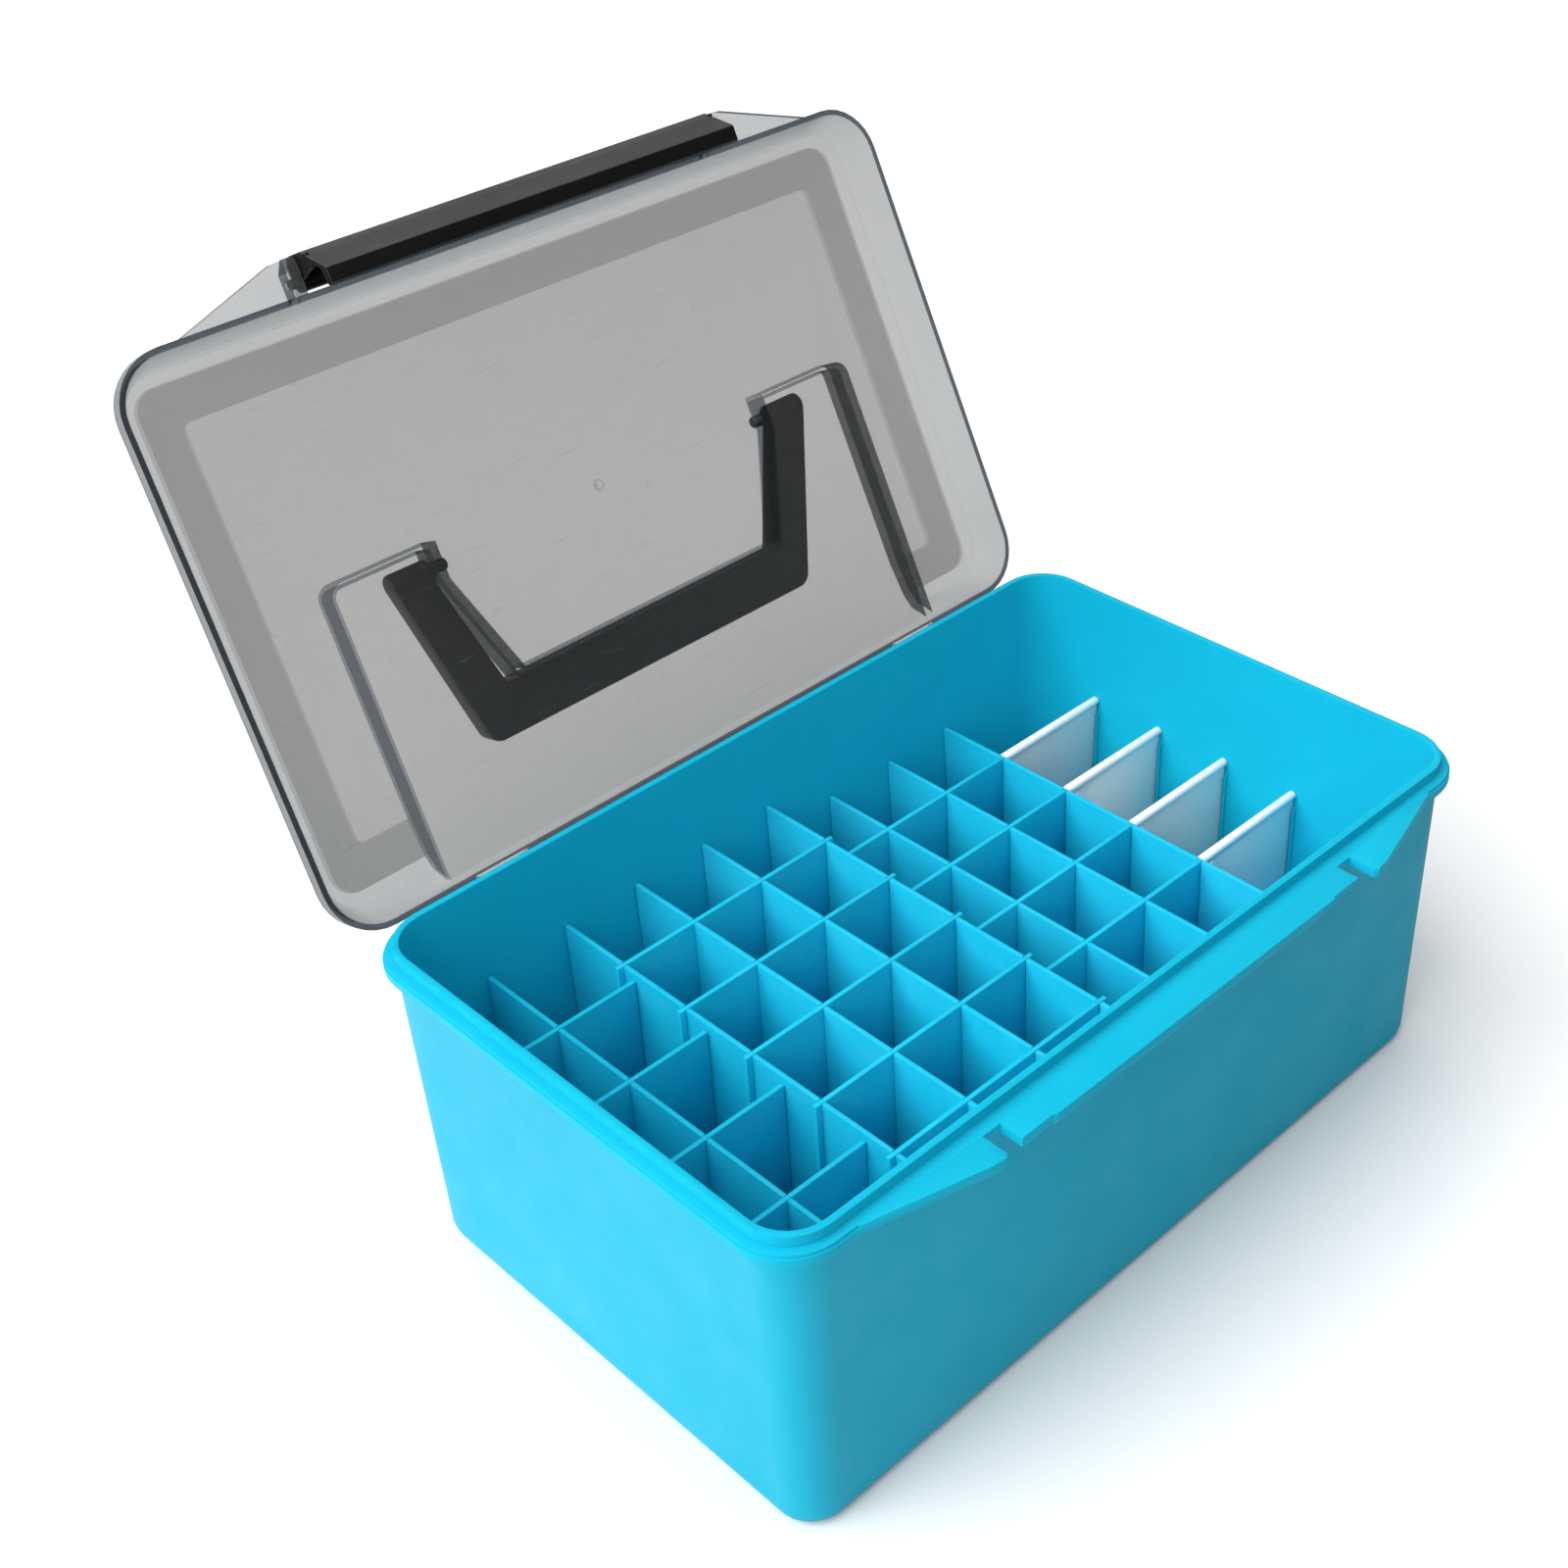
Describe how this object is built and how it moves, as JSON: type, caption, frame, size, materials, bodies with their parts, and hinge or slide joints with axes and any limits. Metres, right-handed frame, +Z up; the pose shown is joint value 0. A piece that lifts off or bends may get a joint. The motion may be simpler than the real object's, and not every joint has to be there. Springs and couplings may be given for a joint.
{
  "type": "cryogenic storage box",
  "caption": "Lidded cryogenic storage box: blue tub with interlocking divider grids and white plates, see-through hinged lid, snap latch and folding handle.",
  "frame": {"origin": "middle of the tub's underside, on the surface the box stands on", "axes": "+X along the box towards the white plates, -Y towards the latch side, +Y towards the hinges, +Z up; the lid is open at rest"},
  "size_m": [0.288, 0.2814, 0.2743],
  "materials": {
    "tub_blue": "semi-gloss moulded polypropylene",
    "strip_blue": "satin sheet",
    "lid_smoke": "clear smoky moulded plastic",
    "black": "satin",
    "white": "smooth"
  },
  "bodies": {
    "tub": {"tub": "tub_blue"},
    "lid": {"lid": "lid_smoke"},
    "latch": {"latch_bar": "black"},
    "handle": {"handle": "black"},
    "tall_grid": {"cross_strip_1": "strip_blue", "cross_strip_2": "strip_blue", "cross_strip_3": "strip_blue", "cross_strip_4": "strip_blue", "cross_strip_5": "strip_blue", "left_strip_1": "strip_blue", "left_strip_2": "strip_blue", "left_strip_3": "strip_blue", "left_strip_4": "strip_blue", "middle_strip_1": "strip_blue", "middle_strip_2": "strip_blue", "middle_strip_3": "strip_blue", "middle_strip_4": "strip_blue", "middle_strip_5": "strip_blue"},
    "low_grid": {"cross_strip_6": "strip_blue", "cross_strip_7": "strip_blue", "cross_strip_8": "strip_blue", "low_strip_1": "strip_blue", "low_strip_2": "strip_blue", "low_strip_3": "strip_blue", "low_strip_4": "strip_blue", "low_strip_5": "strip_blue"},
    "plate_1": {"white_plate_1": "white"},
    "plate_2": {"white_plate_2": "white"},
    "plate_3": {"white_plate_3": "white"},
    "plate_4": {"white_plate_4": "white"}
  },
  "joints": [
    {"name": "lid_hinge", "type": "hinge", "parent": "tub", "child": "lid", "pos_m": [0, 0.0906, 0.1019], "axis": [-1, 0, 0], "range_deg": [-115, 5]},
    {"name": "latch_pivot", "type": "hinge", "parent": "lid", "child": "latch", "pos_m": [0, 0.17701, 0.26331], "axis": [1, 0, 0], "range_deg": [-90, 17]},
    {"name": "handle_pivot", "type": "hinge", "parent": "lid", "child": "handle", "pos_m": [0, 0.14439, 0.17678], "axis": [1, 0, 0], "range_deg": [-9, 96]},
    {"name": "tall_grid_lift", "type": "slide", "parent": "tub", "child": "tall_grid", "axis": [0, 0, 1], "range_m": [0, 0.115]},
    {"name": "low_grid_lift", "type": "slide", "parent": "tub", "child": "low_grid", "axis": [0, 0, 1], "range_m": [0, 0.115]},
    {"name": "plate_1_lift", "type": "slide", "parent": "tub", "child": "plate_1", "axis": [0, 0, 1], "range_m": [0, 0.115]},
    {"name": "plate_2_lift", "type": "slide", "parent": "tub", "child": "plate_2", "axis": [0, 0, 1], "range_m": [0, 0.115]},
    {"name": "plate_3_lift", "type": "slide", "parent": "tub", "child": "plate_3", "axis": [0, 0, 1], "range_m": [0, 0.115]},
    {"name": "plate_4_lift", "type": "slide", "parent": "tub", "child": "plate_4", "axis": [0, 0, 1], "range_m": [0, 0.115]}
  ]
}
